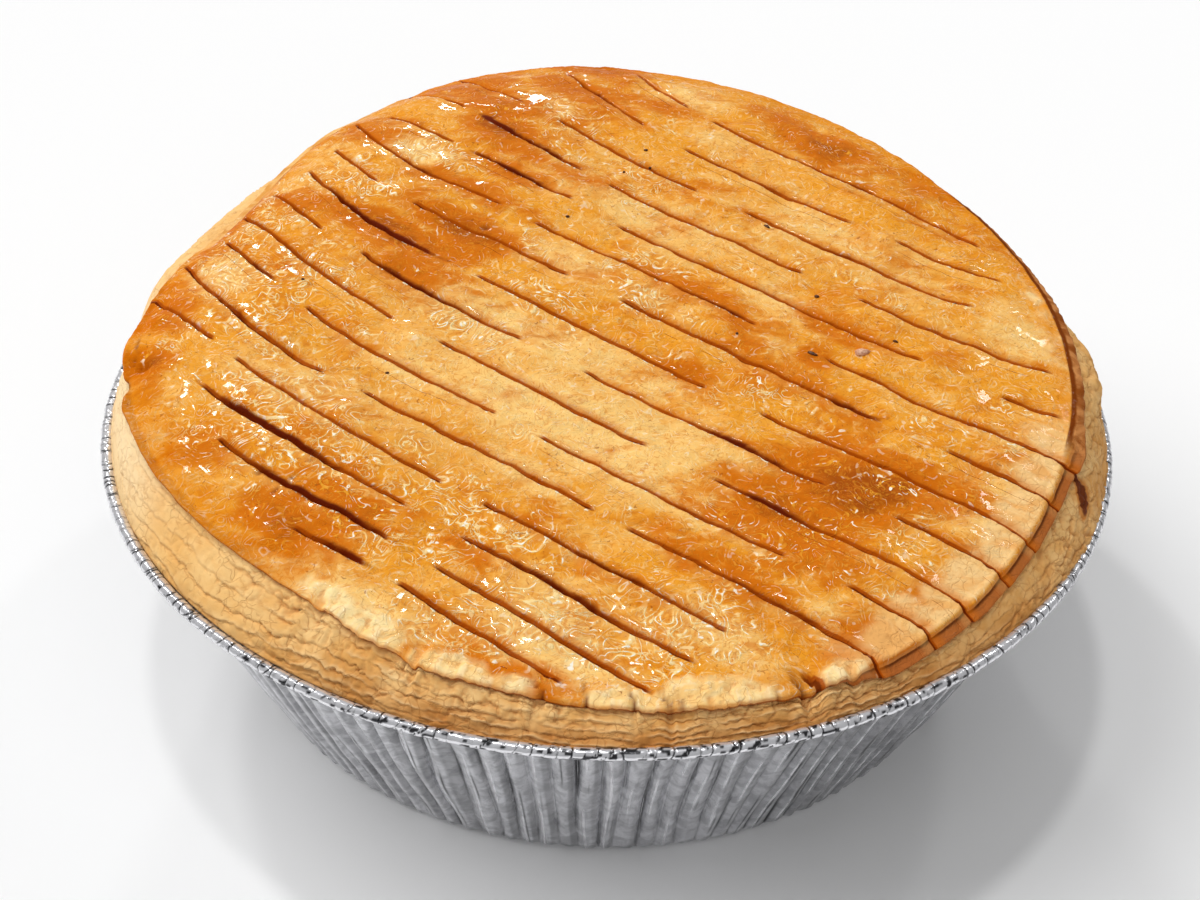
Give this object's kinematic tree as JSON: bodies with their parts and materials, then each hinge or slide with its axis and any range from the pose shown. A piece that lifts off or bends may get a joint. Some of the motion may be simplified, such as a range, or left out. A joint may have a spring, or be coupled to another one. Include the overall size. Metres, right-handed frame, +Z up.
{
  "type": "steak and onion pie",
  "caption": "Round baked pie with a glazed, slashed puff pastry lid over a pale pastry case, in a fluted foil tray with a rolled rim.",
  "frame": {"origin": "centre of the foil tray's flat base, where it rests", "axes": "+Z up, +Y towards the raised back of the lid, +X to the right as the pie is seen from its low front edge"},
  "size_m": [0.2, 0.2, 0.0801],
  "materials": {
    "foil": "thin pressed foil, satin on the fluted wall and bright on the rolled rim",
    "pale_pastry": null,
    "glazed_pastry": null
  },
  "bodies": {
    "root": {"foil_tray": "foil", "pie_body": "pale_pastry", "pastry_lid": "glazed_pastry"}
  },
  "joints": []
}
